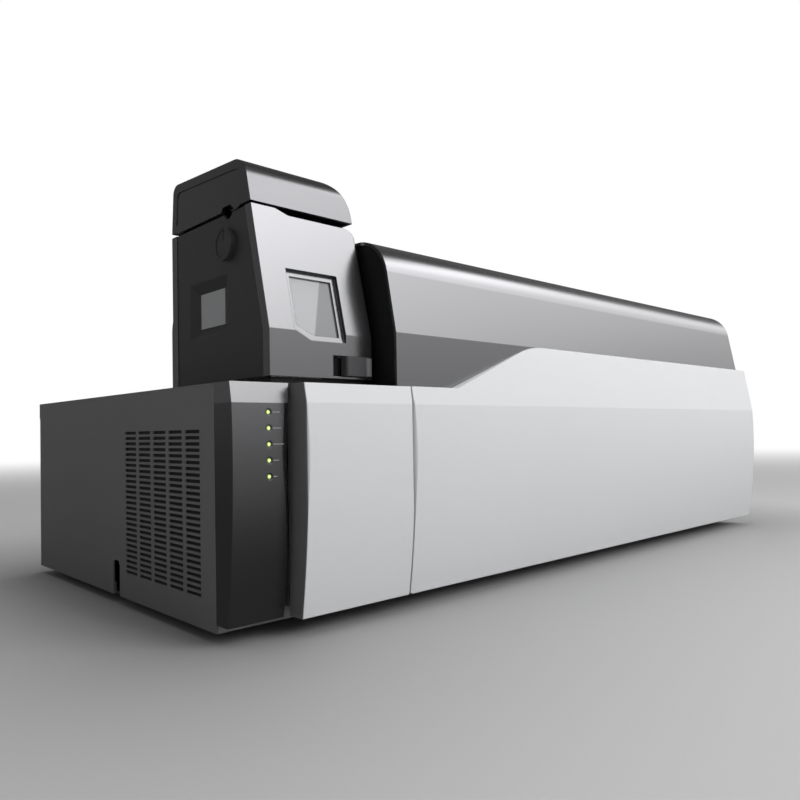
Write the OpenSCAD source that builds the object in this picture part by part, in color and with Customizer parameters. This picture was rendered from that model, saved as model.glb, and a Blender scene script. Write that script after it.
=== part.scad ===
// Benchtop triple quadrupole mass spectrometer with its ion source.
// Corner frame used by every module: x runs right from the vent end, y runs back from
// the front of the chassis, z runs up from the floor. place() puts the origin on the
// floor below the middle of the whole instrument.

/* [Chassis] */
// Overall length, over the front panel
body_l = 900; // [860:1:1000]
// Depth of the chassis from its front wall to its rear panel
body_w = 406; // [390:1:460]
// Height of the chassis without its feet
body_h = 184; // [180:1:196]
// Height of the rubber feet
foot_h = 8; // [5:0.5:15]
// Diameter of a rubber foot
foot_d = 36; // [24:1:44]
// Thickness of the folded sheet panels
sheet = 1.5; // [1:0.1:2.5]
// How far the front panel runs past the chassis at its right end
panel_overhang = 8; // [4:0.5:14]
// Depth of the lip that the top deck folds over the rear panel
deck_lip = 17; // [10:0.5:24]

/* [Front profile] */
// How far the front panel stands ahead of the chassis at its fullest height
panel_reach = 42.4; // [40:0.2:50]
// Radius of the bow of the front panels, seen from the side
bow_r = 778; // [600:1:1200]
// Height of the fullest point of the bow above the chassis bottom
bow_z = 130; // [110:1:140]
// Height of the crease across the front panels
crease_z = 168.5; // [160:0.5:172]
// Lean of the facet above the crease, in degrees
facet_rake = 10.2; // [6:0.1:11]
// Gap from the chassis bottom to the lower edge of the front panels
front_lift = 6.5; // [4:0.5:12]
// Wall of the moulded covers
skin = 3; // [2:0.1:4]

/* [Vent grille] */
// Columns of slots in the vent end panel
vent_cols = 5; // [3:1:7]
// Rows of slots in each column
vent_rows = 27; // [15:1:28]
// Length of one slot
vent_slot_l = 23.6; // [15:0.2:26]
// Height of one slot
vent_slot_h = 2.6; // [1.5:0.1:3]
// Distance from one column to the next
vent_pitch_y = 29.1; // [27.5:0.1:34]
// Distance from one row to the next
vent_pitch_z = 4.76; // [4:0.02:5]
// Distance of the grille from the front edge of the panel
vent_y = 22.9; // [15:0.5:40]
// Height of the lowest row of slots
vent_z = 24.6; // [18:0.2:30]
// Width of the cable notch at the foot of the panel
notch_w = 15; // [8:0.5:20]
// Height of the cable notch
notch_h = 32; // [20:0.5:40]

/* [Status fascia] */
// Width of the status fascia
fascia_w = 50.4; // [47:0.2:60]
// How far the fascia sits behind the white door
fascia_set = 16.4; // [12:0.2:20]
// Rounding of the fascia beside the finger gap
fascia_r = 6; // [3:0.5:8]
// How far the fascia narrows below its top to leave the finger gap
finger_gap = 3.4; // [2:0.1:4]
// Number of status lights
led_count = 5; // [3:1:7]
// Distance from one status light to the next
led_pitch = 11.9; // [9:0.1:14]
// Distance of the status lights from the vent end
led_x = 30.5; // [20:0.5:36]
// Height of the top status light
led_z = 161.7; // [155:0.5:163]
// Diameter of a status light
led_d = 3.4; // [2.5:0.1:4.2]

/* [Door and front panel] */
// Width of the white service door
door_w = 110.4; // [104:0.2:118]
// Gap between the fascia and the door
door_gap = 2.6; // [2.4:0.1:4]
// Gap between the door and the front panel
seam = 1.8; // [1.7:0.1:3]
// Distance of the door pivot from the door's right edge
pivot_in = 18; // [18:0.5:24]
// Depth of the door pivot behind the fullest point of the door
pivot_back = 9.2; // [8.8:0.1:9.4]
// Radius of the door hinge pins
door_pin_r = 2; // [1.5:0.1:2.4]
// Height of the raised part of the front panel above the chassis bottom
raised_h = 231; // [225:0.5:240]
// Distance of the foot of the ramp from the vent end
ramp_x = 224; // [190:1:300]
// Slope of the ramp, in degrees
ramp_a = 21; // [15:0.5:35]
// Rounding where the ramp meets the raised edge
ramp_r = 105; // [40:1:110]

/* [Hood] */
// Distance of the hood from the vent end
hood_x = 157.6; // [157:0.2:162]
// Gap from the right end of the hood to the right end of the front panel
hood_end = 26.7; // [20:0.1:60]
// Thickness left at the top edge of the raised front panel
panel_lip = 1.7; // [1.2:0.1:4]
// Height of the hood above the chassis bottom
hood_h = 318; // [310:0.5:335]
// Lean of the hood above the raised edge, in degrees
hood_rake = 10.8; // [6:0.1:14]
// Rounding of the hood shoulders
hood_r = 40; // [20:0.5:45]
// Distance of the hood from the rear of the chassis
hood_back = 8; // [4:0.5:20]

/* [Ion source] */
// Distance of the ion source from the vent end
src_x = 47.3; // [44:0.1:48]
// Width of the ion source
src_w = 106.7; // [104:0.1:107.5]
// Depth of the ion source
src_d = 166; // [160:0.5:176]
// How far the ion source stands ahead of the chassis front
src_set = 2; // [0:0.1:6]
// Height of the ion source floor above the deck
src_lift = 7; // [6:0.1:10]
// Height where the front of the ion source starts to lean back
src_kink_z = 228.7; // [224:0.1:232]
// Lean of the ion source front, in degrees
src_rake = 13.3; // [10:0.1:15]
// Height of the seam between housing and lid
src_seam_z = 333; // [329:0.5:338]
// Gap between housing and lid
lid_gap = 2.2; // [1.6:0.1:3]
// Height of the lid above the seam, at its rear
lid_h = 49; // [44:0.5:56]
// Slope of the lid top, in degrees
lid_slope = 3.6; // [2:0.1:5]
// Rounding of the lid's ends, seen from the side
src_r = 15; // [12:0.5:18]
// Rounding of the lid's right-hand shoulder, seen from the front
shoulder_r = 32; // [16:1:36]
// Inward lean of the lid's right side, per unit of height
lid_lean = 0.1; // [0.04:0.01:0.16]
// Rounding of the housing's upright right-hand edge
upright_r = 3; // [2:0.5:6]
// Rounding of the housing under the lid's right-hand corner
corner_r = 12; // [6:0.5:16]
// Width of the band that wraps round the side cover
band = 9.5; // [7:0.5:12]
// Drop of the housing edge under the lid's finger gap
lid_finger = 4.4; // [3:0.1:6]

/* [Windows] */
// Distance of the side window from the front of the ion source
side_win_y = 63; // [58:0.5:66]
// Width of the side window recess
side_win_w = 71; // [60:0.5:74]
// Height of the side window recess
side_win_h = 53.5; // [44:0.5:58]
// Height of the lower edge of the side window recess
side_win_z = 230; // [226:0.5:236]
// Depth of the window recesses
win_deep = 6; // [4:0.2:7]
// Width of the front window recess
front_win_w = 52.5; // [46:0.5:54]
// Height of the front window recess along the leaning face
front_win_h = 60.5; // [50:0.5:64]
// Distance of the front window from the left side of the ion source
front_win_x = 24; // [20:0.5:28]
// Thickness of the window panes
pane_t = 3; // [2:0.1:4]

/* [Source controls] */
// Diameter of the side dial
dial_d = 27.5; // [22:0.5:29]
// Distance of the dial from the front of the ion source
dial_y = 63; // [60:0.5:66]
// Height of the dial above the chassis bottom
dial_z = 306; // [303:0.5:309]
// Radius of the dial's lead screw
screw_r = 3; // [2:0.1:4]
// Running clearance of shafts and pins in their holes
run_gap = 0.05; // [0.03:0.01:0.08]
// Length of the lock lever's grip
lever_l = 20.5; // [16:0.5:24]
// Height of the lock lever
lever_h = 16.5; // [12:0.5:18]
// Radius of the ion source's hinge pin
hinge_pin_r = 4; // [3:0.1:5]

/* [Ion path] */
// Height of the ion axis above the chassis bottom
axis_z = 250; // [246:0.5:254]
// Distance of the ion axis from the chassis front
axis_y = 96; // [92:0.5:100]
// Radius of the interface flange
flange_r = 42; // [36:0.5:44]
// Radius of the quadrupole rods
rod_r = 6; // [4:0.2:7]
// Radius of the pumps' inlet flanges
pump_flange_r = 70; // [64:0.5:72]
// Height of the turbo pumps
pump_h = 118; // [100:1:130]
// Blades on each turbo rotor stage
blade_count = 16; // [10:1:20]

/* [Rear ports] */
// Inner radius of the vacuum ports
vac_port_r = 13; // [10:0.5:16]
// How far the vacuum ports stand out of the rear panel
port_reach = 24; // [18:0.5:30]
// Inner radius of the gas ports
gas_port_r = 3.05; // [2:0.05:4]
// Side of the cooling fans
fan_size = 120; // [100:1:126]
// Thickness of the foam pad behind the slots
filter_t = 5; // [3:0.5:8]
// Length, depth and height of the generator box
rf_box = [190, 130, 110]; // [60:5:220]
// Length, depth and height of the power supply
supply_box = [180, 120, 90]; // [60:5:220]

/* [Hidden] */
$fn = 64;

fit = 0.3;                                   // clearance between moving and fixed pieces
eps = 0.01;                                  // overrun of cuts
z0 = foot_h;                                 // chassis bottom
deck_z = z0 + body_h;                        // top of the deck
chassis_l = body_l - panel_overhang;
rear_y = body_w + sheet;                     // outer face of the deck's rear lip
y_mid = (body_w + port_reach - panel_reach) / 2;

// door and front panel
door_x0 = fascia_w + door_gap;
door_x1 = door_x0 + door_w;
panel_x0 = door_x1 + seam;
front_z0 = z0 + front_lift;
pivot_x = door_x1 - pivot_in;
pivot_y = -panel_reach + pivot_back;
door_back = -16.5;                           // back edge of the door's left and long walls
knuckle_z = [z0 + 72, z0 + 148];             // lower faces of the door's hinge knuckles
knuckle_h = 9;
arm_t = 3;                                   // thickness of a hinge arm
bay_front = -12;                             // front edge of the service bay
bay_depth = 62;

// hood
hood_x1 = body_l - hood_end;
hood_y1 = body_w - hood_back;
kink_z = z0 + raised_h;
hood_set = -facet_y(0, kink_z) - panel_lip;   // the hood stands just behind the panel

// ion source
src_y = -src_set;
src_x1 = src_x + src_w;
src_y1 = src_y + src_d;
src_z = deck_z + src_lift;
src_kink = z0 + src_kink_z;
seam_z = z0 + src_seam_z;
lid_z = seam_z + lid_gap;
lid_top = seam_z + lid_h;
lid_axis = [src_y1 - 3, seam_z + 3.6];       // y and z of the lid's hinge axis
lid_rod_r = 1.5;
lid_barrel_r = 3;
hinge_x = src_x1 - 8;
hinge_y = src_y1 - 8;
cover_t = 3;                                 // thickness of the side cover
cover_in = 0.8;                              // how far the side cover is inset
chamber = [src_x + 11, src_y + 26, src_x1 - 5, src_y1 - 22];   // x0, y0, x1, y1
chamber_z = [src_z + 6, z0 + 296];
chamber_t = 4;
dial_cy = src_y + dial_y;
dial_cz = z0 + dial_z;
probe_x = (chamber[0] + chamber[2]) / 2;
carriage_t = 8;
travel = 3;                                  // probe travel each way

// vacuum system
ax_y = axis_y;
ax_z = z0 + axis_z;
mani_x0 = hood_x + 16;
mani_x1 = hood_x1 - 22;
mani_w = 176;
mani_z0 = deck_z + 6;
mani_z1 = z0 + 292;
mani_t = 8;
mani_cover_t = 8;
pump_x = [mani_x0 + 0.24 * (mani_x1 - mani_x0), mani_x0 + 0.72 * (mani_x1 - mani_x0)];
pump_r = pump_flange_r - 8;

// Inward offset of a counter-clockwise outline by t
function unit(v) = v / norm(v);
function left_of(v) = [-v[1], v[0]];
function inset(p, t) = let (n = len(p)) [for (i = [0:n - 1])
    let (a = left_of(unit(p[i] - p[(i + n - 1) % n])), b = left_of(unit(p[(i + 1) % n] - p[i])))
    p[i] + (a + b) * t / (1 + a * b)];

// y of the facet above the crease, set back by back, at height z above the floor
function crease_y(back) = back - panel_reach
    + bow_r - sqrt(bow_r * bow_r - pow(crease_z - bow_z, 2));
function facet_y(back, z) = crease_y(back) + (z - z0 - crease_z) * tan(facet_rake);
// y of the bowed face at height z above the floor
function bow_y(back, z) = back - panel_reach
    + bow_r - sqrt(bow_r * bow_r - pow(z - z0 - bow_z, 2));

// Everything stands on the floor with the origin below its middle
module place() translate([-body_l / 2, -y_mid, 0]) children();
// Extrude a (y, z) outline along x, an (x, z) outline along y
module along_x(x0, x1) translate([x0, 0, 0]) rotate([90, 0, 90]) linear_extrude(x1 - x0) children();
module along_y(y0, y1) translate([0, y1, 0]) rotate([90, 0, 0]) linear_extrude(y1 - y0) children();
module box(a, b) translate(a) cube(b - a);
module rod_x(x0, x1, y, z, r) translate([x0, y, z]) rotate([0, 90, 0]) cylinder(h = x1 - x0, r = r);
module rod_y(y0, y1, x, z, r) translate([x, y0, z]) rotate([-90, 0, 0]) cylinder(h = y1 - y0, r = r);
module rod_z(z0, z1, x, y, r) translate([x, y, z0]) cylinder(h = z1 - z0, r = r);

// Outline with true round corners: p are its corners, r the radius at each
module rounded(p, r) {
    n = len(p);
    function arm(i, s) = unit(p[(i + s + n) % n] - p[i]);
    function half(i) = acos(arm(i, -1) * arm(i, 1)) / 2;
    polygon([for (i = [0:n - 1]) each r[i] > 0
        ? [p[i] + arm(i, -1) * r[i] / tan(half(i)), p[i] + arm(i, 1) * r[i] / tan(half(i))]
        : [p[i]]]);
    for (i = [0:n - 1]) if (r[i] > 0)
        translate(p[i] + unit(arm(i, -1) + arm(i, 1)) * r[i] / sin(half(i)))
            circle(r = r[i], $fn = 96);
}

// ---------------------------------------------------------------- chassis

// Folded floor pan with a flange up each side and a pad over each foot
module base_pan() color("#8f9396") place() {
    flange = 11;
    difference() {
        box([sheet, sheet, z0], [chassis_l - sheet, body_w - sheet, z0 + flange]);
        box([2 * sheet, 2 * sheet, z0 + sheet],
            [chassis_l - 2 * sheet, body_w - 2 * sheet, z0 + flange + 1]);
        // cable notch and air holes under the pumps
        box([-1, notch_mid() - notch_w / 2, z0 - 1],
            [3 * sheet, notch_mid() + notch_w / 2, z0 + notch_h]);
        for (x = pump_x, i = [-2:2]) translate([x + 14 * i, ax_y, z0 - 1])
            cylinder(h = sheet + 2, r = 4, $fn = 24);
    }
}

function notch_mid() = vent_y + vent_cols * vent_pitch_y + 17;
function foot_spots() = [for (x = [44, chassis_l - 44], y = [40, body_w - 40]) [x, y]];

// Four turned rubber feet
module feet() color("#202022") place()
    for (s = foot_spots()) translate([s[0], s[1], 0]) difference() {
        cylinder(h = foot_h, r1 = foot_d / 2 - 1.5, r2 = foot_d / 2, $fn = 48);
        translate([0, 0, -eps]) cylinder(h = foot_h / 2, r = 4, $fn = 24);
    }

// Left end: slotted sheet with folded returns and the cable notch
module vent_end_panel() color("#46464a") place() difference() {
    union() {
        box([0, 0, z0], [sheet, body_w, deck_z - sheet]);
        box([0, sheet, deck_z - 2 * sheet], [12, body_w - sheet, deck_z - sheet]);
    }
    for (c = [0:vent_cols - 1], r = [0:vent_rows - 1])
        translate([-1, vent_y + c * vent_pitch_y, z0 + vent_z + r * vent_pitch_z - vent_slot_h / 2])
            cube([sheet + 2, vent_slot_l, vent_slot_h]);
    along_x(-1, sheet + 1) rounded([[notch_mid() - notch_w / 2, z0 - 1],
        [notch_mid() + notch_w / 2, z0 - 1], [notch_mid() + notch_w / 2, z0 + notch_h],
        [notch_mid() - notch_w / 2, z0 + notch_h]], [0, 0, notch_w / 3, notch_w / 3]);
}

// Foam pad that covers the slots from inside
module air_filter() color("#26262a") place() box([sheet, vent_y - 5, z0 + vent_z - 6],
    [sheet + filter_t, vent_y + (vent_cols - 1) * vent_pitch_y + vent_slot_l + 5,
    z0 + vent_z + (vent_rows - 1) * vent_pitch_z + 6]);

// Right end: plain sheet with a short block of exhaust slots
module right_end_panel() color("#46464a") place() difference() {
    union() {
        box([chassis_l - sheet, 0, z0], [chassis_l, body_w, deck_z - sheet]);
        box([chassis_l - 12, sheet, deck_z - 2 * sheet], [chassis_l, body_w - sheet, deck_z - sheet]);
    }
    for (c = [0:2], r = [0:9])
        translate([chassis_l - sheet - 1, body_w * 0.5 + (c - 1.5) * vent_pitch_y,
            z0 + body_h * 0.45 + r * 2 * vent_pitch_z])
            cube([sheet + 2, vent_slot_l, 2 * vent_slot_h]);
}

fan2_x = chassis_l * 0.62;                   // middle of the exhaust fan
fan_z = z0 + body_h / 2;
inlet_x = chassis_l - 90;                    // middle of the mains inlet
inlet_z = z0 + 40;
switch_x = inlet_x - 44;
data_x = pump_x[0] - 90;
vac_x = [pump_x[0], pump_x[0] + 90];
vac_z = z0 + 60;
gas_x = hood_x + 30;
gas_z = z0 + 120;

// Rear panel: fan opening, sockets, vacuum and gas ports
module rear_panel() color("#46464a") place() difference() {
    box([sheet, body_w - sheet, z0], [chassis_l - sheet, body_w, deck_z - sheet]);
    // four rings of fan openings between two crossed spokes
    for (i = [0:3]) difference() {
        rod_y(body_w - sheet - 1, body_w + 1, fan2_x, fan_z, fan_size / 2 - 5 - i * 12);
        rod_y(body_w - sheet - 2, body_w + 2, fan2_x, fan_z, fan_size / 2 - 13 - i * 12);
        for (a = [45, 135]) translate([fan2_x, body_w, fan_z]) rotate([0, a, 0])
            box([-fan_size, -5, -2.5], [fan_size, 5, 2.5]);
    }
    box([inlet_x - 14, body_w - 5, inlet_z - 12], [inlet_x + 14, body_w + 5, inlet_z + 12]);
    box([switch_x - 8, body_w - 5, inlet_z - 12], [switch_x + 8, body_w + 5, inlet_z + 12]);
    box([data_x - 40, body_w - 5, inlet_z - 11], [data_x + 40, body_w + 5, inlet_z + 11]);
    for (x = vac_x) rod_y(body_w - 5, body_w + 5, x, vac_z, vac_port_r + 3 + fit);
    for (i = [0:1]) rod_y(body_w - 5, body_w + 5, gas_x + 30 * i, gas_z, 7 + fit);
    for (c = [0:9]) translate([gas_x + 60 + c * 14, body_w - 5, gas_z - 10]) cube([4, 10, 40]);
}

// Top deck: sheet that carries the hood and the ion source, with a rear lip
module top_deck() color("#46464a") place() {
    difference() {
        translate([0, 0, deck_z - sheet]) linear_extrude(sheet) polygon([[0, 0], [door_x0, 0],
            [door_x0, bay_front], [panel_x0, bay_front], [panel_x0, -hood_set],
            [chassis_l, -hood_set], [chassis_l, rear_y], [0, rear_y]]);
        // opening below the hood for the manifold and its pumps
        box([mani_x0, ax_y - mani_w / 2 + mani_t + 4, deck_z - sheet - 1],
            [mani_x1, ax_y + mani_w / 2 - mani_t - 4, deck_z + 1]);
        // cable hole below the plinth
        rod_z(deck_z - sheet - 1, deck_z + 1, src_x + src_w / 2, src_y + src_d / 2, 14);
    }
    box([0, body_w, deck_z - deck_lip], [chassis_l, rear_y, deck_z - sheet]);
}

// Front wall: sheet behind the fascia, door and panel, cut out for the service bay
module front_wall() color("#8f9396") place() difference() {
    box([sheet, 0, z0], [chassis_l - sheet, sheet, deck_z - sheet]);
    box([door_x0 + 1.5, -1, z0 + 12], [door_x1 - 1.5, sheet + 1, deck_z - 8]);
}

// Two folded bulkheads that carry the manifold from the floor pan
module bulkheads() color("#8f9396") place()
    for (x = [mani_x0 + 24, mani_x1 - 26]) difference() {
        union() {
            box([x, 2 * sheet, z0 + sheet], [x + sheet, body_w - 2 * sheet, deck_z - sheet]);
            box([x, 2 * sheet, z0 + sheet], [x + 14, body_w - 2 * sheet, z0 + 2 * sheet]);
            box([x, ax_y - mani_w / 2 + mani_t + 6, z0 + sheet],
                [x + sheet, ax_y + mani_w / 2 - mani_t - 6, mani_z0]);
        }
        for (y = [body_w * 0.62, body_w * 0.8]) rod_x(x - 1, x + sheet + 1, y, z0 + body_h / 2, 22);
    }

// Service bay behind the door: folded box, open to the front
bay_x = [door_x0 + 1.5 + fit, door_x1 - 1.5 - fit];
bay_z = [z0 + 12 + fit, deck_z - 8 - fit];
module service_bay() color("#5a5c60") place() difference() {
    box([bay_x[0], bay_front, bay_z[0]], [bay_x[1], bay_depth, bay_z[1]]);
    box([bay_x[0] + sheet, bay_front - 1, bay_z[0] + sheet],
        [bay_x[1] - sheet, bay_depth - sheet, bay_z[1] - sheet]);
}

// Six-port switching valve on the back of the bay
module switching_valve() color("#b9bcc0") place() {
    x = door_x0 + door_w * 0.42;
    z = z0 + body_h * 0.56;
    y = bay_depth - sheet;
    difference() {
        union() {
            rod_y(y - 26, y, x, z, 20);
            rod_y(y - 36, y - 26 + eps, x, z, 13);
        }
        for (a = [0:60:300]) translate([x + 8.5 * cos(a), y - 36 - eps, z + 8.5 * sin(a)])
            rotate([-90, 0, 0]) cylinder(h = 7, r = 2.2, $fn = 24);
    }
    box([x - 26, y - 3, z - 26], [x + 26, y, z + 26]);
}

// ---------------------------------------------------------------- front covers

// Side view of a front cover: bowed below the crease, leaning facet above it
module cover_side(back, za, zb, y_back) intersection() {
    translate([bow_r - panel_reach + back, z0 + bow_z]) circle(r = bow_r, $fn = 360);
    polygon([[facet_y(back, za), za], [facet_y(back, zb), zb], [y_back, zb], [y_back, za]]);
}

// Status fascia: a moulded shell with a narrowed right edge for the finger gap
module led_fascia() color("#4c4c50") place() difference() {
    x1 = fascia_w;
    xs = fascia_w - finger_gap + 0.5;
    union() difference() {
        intersection() {
            along_x(0, x1) cover_side(fascia_set, front_z0, deck_z, 0);
            along_y(-60, 1) polygon([[0, 0], [xs, 0], [xs, z0 + crease_z - 2], [x1, deck_z], [0, deck_z]]);
        }
        // rounding of the right edge
        translate([xs, bow_y(fascia_set, z0 + bow_z), 0]) difference() {
            translate([-fascia_r, -8, 0]) cube([fascia_r + 8, fascia_r + 8, z0 + crease_z]);
            translate([-fascia_r, fascia_r, -1]) cylinder(h = z0 + crease_z + 2, r = fascia_r);
        }
        // hollow back
        intersection() {
            along_x(skin, xs - skin) cover_side(fascia_set + skin, front_z0 + skin, deck_z - skin, 1);
            along_x(skin, xs - skin) square([200, 800], center = true);
        }
    }
    for (i = [0:led_count - 1]) {
        z = z0 + led_z - i * led_pitch;
        rod_y(-60, 1, led_x, z, led_d / 2 + 0.1);
        rod_y(-60, bow_y(fascia_set, z) + 0.7, led_x, z, led_d / 2 + 1);
    }
}

// Five domed light pipes that reach back to the status board
module led_lenses() color("#c8e060") place()
    for (i = [0:led_count - 1]) {
        z = z0 + led_z - i * led_pitch;
        y = bow_y(fascia_set, z);
        rod_y(y + 1, -8, led_x, z, led_d / 2);
        translate([led_x, y + 1 + eps, z]) rotate([90, 0, 0])
            cylinder(h = 0.8, r1 = led_d / 2, r2 = led_d / 2 - 0.6);
        rod_y(y + skin + 0.6, y + skin + 1.6, led_x, z, led_d / 2 + 0.8);
    }

// Status board behind the light pipes, on two posts from the front wall
module led_board() color("#2f6a45") place() {
    h = (led_count - 1) * led_pitch + 24;
    zc = z0 + led_z - (led_count - 1) * led_pitch / 2;
    box([led_x - 14, -8 + eps, zc - h / 2], [led_x + 12, -6.4, zc + h / 2]);
    for (s = [-1, 1]) rod_y(-6.4 - eps, 0, led_x, zc + s * (h / 2 - 5), 3);
}

// White door: bowed shell with ribs and two hinge knuckles on its right
module front_door() color("#dcdcde") place() {
    z1 = deck_z - fit;
    difference() {
        union() {
            difference() {
                along_x(door_x0, door_x1) cover_side(0, front_z0, z1, door_back);
                along_x(door_x0 + skin, door_x1 - skin) cover_side(skin, front_z0 + skin, z1 - skin, 1);
                // the right wall stays short so that it clears the bay when the door turns
                box([pivot_x - 20, pivot_y + 6, front_z0 - 1], [door_x1 + 1, 1, z1 + 1]);
            }
            // ribs behind the skin and the two hinge knuckles
            intersection() {
                along_x(door_x0, door_x1) cover_side(skin / 2, front_z0 + 1, z1 - 1, 1);
                union() {
                    for (i = [1:3]) box([door_x0 + 1, -panel_reach, front_z0 + i * (z1 - front_z0) / 4 - 1],
                        [pivot_x - 10, pivot_y + 8, front_z0 + i * (z1 - front_z0) / 4 + 1]);
                    for (z = knuckle_z) box([pivot_x - door_pin_r - 2.2, -panel_reach, z],
                        [pivot_x + door_pin_r + 2.2, pivot_y, z + knuckle_h]);
                }
            }
            for (z = knuckle_z) rod_z(z, z + knuckle_h, pivot_x, pivot_y, door_pin_r + 2.2);
        }
        // rounded right and left edges of the front
        for (s = [[door_x1, 1], [door_x0, -1]]) translate([s[0], -panel_reach, 0]) difference() {
            translate([s[1] > 0 ? -edge_r : -8, -8, 0]) cube([edge_r + 8, edge_r + 8, deck_z + 1]);
            translate([-s[1] * edge_r, edge_r, -1]) cylinder(h = deck_z + 3, r = edge_r);
        }
        // bores for the hinge pins and slots for the hinge arms
        for (z = knuckle_z) {
            rod_z(z - 1, z + knuckle_h + 1, pivot_x, pivot_y, door_pin_r + run_gap);
            box([door_x1 - skin - 1, pivot_y - 4, z - arm_t - 2 * fit], [door_x1 + 1, pivot_y + 8, z]);
        }
    }
}
edge_r = 3;                                  // rounding of the door's long edges

// Two hinge arms: each hooks round from the bay wall and ends in an upright pin
module door_hinge_arms() color("#9a9da1") place()
    for (z = knuckle_z) {
        za = z - arm_t - fit;
        w = 2.9;
        x = bay_x[1] - sheet;
        p = [[pivot_x, pivot_y], [pivot_x - 6, pivot_y + 25], [x - 3, pivot_y + 28]];
        a = left_of(unit(p[1] - p[0])) * w;
        b = left_of(unit(p[2] - p[1])) * w;
        m = (a + b) / (1 + a * b / (w * w));
        translate([0, 0, za]) linear_extrude(arm_t)
            polygon([p[0] - a, p[1] - m, p[2] - b, p[2] + b, p[1] + m, p[0] + a]);
        rod_z(za, za + arm_t, pivot_x, pivot_y, w + 0.5);
        rod_z(za, z + knuckle_h - 1, pivot_x, pivot_y, door_pin_r);
        box([x - 4, bay_front + 1, za - 6], [x, 12, za + arm_t + 6]);
    }

// (x, z) outline of the large front panel with its ramp up to the raised edge
function panel_outline() = let (top = kink_z, dx = (top - deck_z) / tan(ramp_a))
    [[panel_x0, front_z0], [body_l, front_z0], [body_l, top], [ramp_x + dx, top],
     [ramp_x, deck_z], [panel_x0, deck_z]];

module front_panel() color("#dcdcde") place() difference() {
    intersection() {
        union() {
            along_x(panel_x0, body_l) cover_side(0, front_z0, kink_z, -hood_set - fit);
            along_x(panel_x0, body_l) cover_side(0, front_z0, deck_z - sheet - fit, 0);
        }
        along_y(-80, 1) rounded(panel_outline(), [3, 4, 4, ramp_r, 0, 2]);
    }
    // hollow back below the deck
    along_x(panel_x0 + skin, body_l - skin) cover_side(skin, front_z0 + skin, deck_z - sheet - fit - skin, 1);
    translate([panel_x0, -panel_reach, 0]) difference() {
        translate([-8, -8, 0]) cube([edge_r + 8, edge_r + 8, deck_z + 1]);
        translate([edge_r, edge_r, -1]) cylinder(h = deck_z + 3, r = edge_r);
    }
}

// ---------------------------------------------------------------- hood

function hood_corners() = let (dz = z0 + hood_h - kink_z)
    [[hood_y1, deck_z], [hood_y1, z0 + hood_h], [-hood_set + dz * tan(hood_rake), z0 + hood_h],
     [-hood_set, kink_z], [-hood_set, deck_z]];

// Long hood: one folded and moulded skin, open below and at both ends
module hood_shell() color("#2c2c30") place() difference() {
    along_x(hood_x, hood_x1) rounded(hood_corners(), [0, hood_r, hood_r, 0, 0]);
    along_x(hood_x - 1, hood_x1 + 1) difference() {
        rounded(inset(hood_corners(), skin), [0, hood_r - skin, hood_r - skin, 0, 0]);
        translate([-500, deck_z - 20]) square([1500, 20 - eps]);
    }
    box([hood_x - 1, -hood_set + skin, deck_z - 1], [hood_x1 + 1, hood_y1 - skin, deck_z + skin + 1]);
    // cooling slots along the rear wall
    for (i = [0:23]) translate([hood_x + 60 + i * 12, hood_y1 - skin - 1, deck_z + 20])
        cube([4, skin + 2, 60]);
}

// End caps fill the hood just inside its edge
module hood_cap(x) difference() {
    along_x(x, x + skin) intersection() {
        rounded(inset(hood_corners(), skin), [0, hood_r - skin, hood_r - skin, 0, 0]);
        translate([-500, deck_z]) square([1500, 800]);
    }
}

module hood_left_cap() color("#18181a") place() difference() {
    union() {
        hood_cap(hood_x + 2);
        box([hood_x + 2, -hood_set + skin, deck_z], [hood_x + 2 + skin, hood_y1 - skin, deck_z + skin + 1]);
    }
    rod_x(hood_x - 1, hood_x + 3 + skin, ax_y, ax_z, flange_r - 6 + fit);
}

module hood_right_cap() color("#2c2c30") place() union() {
    hood_cap(hood_x1 - 2 - skin);
    box([hood_x1 - 2 - skin, -hood_set + skin, deck_z], [hood_x1 - 2, hood_y1 - skin, deck_z + skin + 1]);
}

// ---------------------------------------------------------------- ion source

tr = tan(src_rake);
ts = tan(lid_slope);
function src_front(z) = src_y + max(0, z - src_kink) * tr;
lid_front_z = (lid_top - (src_d - 4 + src_kink * tr) * ts) / (1 - tr * ts);
function src_corners() = [[src_y1, src_z], [src_y1, seam_z], [src_front(seam_z), seam_z],
    [src_y, src_kink], [src_y, src_z]];
function lid_corners() = [[src_y1, lid_z], [src_y1 - 4, lid_top], [src_front(lid_front_z), lid_front_z],
    [src_front(lid_z), lid_z]];
lid_round = [0, src_r - 6, src_r + 6, 0];
lid_ease = 1.3;                              // the lid's upright edge is this much tighter

// Space right of the lid's leaning side and rounded shoulder is cut off by these two: the outside
// follows the curve and the hollow takes straight facets inside it
lid_fh = lid_front_z - lid_z;
module along_roof() translate([0, src_y1 - 4, lid_top])
    rotate([atan((lid_top - lid_front_z) / (src_y1 - 4 - src_front(lid_front_z))), 0, 0])
    along_y(-src_d - 40, 30) children();
module lid_side() along_roof() rounded([[src_x - 1, -200], [src_x1 + lid_lean * (200 - lid_fh), -200],
    [src_x1 - lid_lean * lid_fh, 0.3], [src_x - 1, 0.3]], [0, 0, shoulder_r, 0]);
module lid_hollow(t) along_roof() polygon(concat([[src_x - 1, -200],
    [src_x1 + lid_lean * (200 - lid_fh) - t, -200]],
    [for (a = [5, 35, 65]) [src_x1 - lid_lean * (lid_fh - shoulder_r) - shoulder_r + (shoulder_r - t) * cos(a),
    -shoulder_r + (shoulder_r - t) * sin(a)]], [[src_x1 - shoulder_r - 9, 6], [src_x - 1, 6]]));

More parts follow.
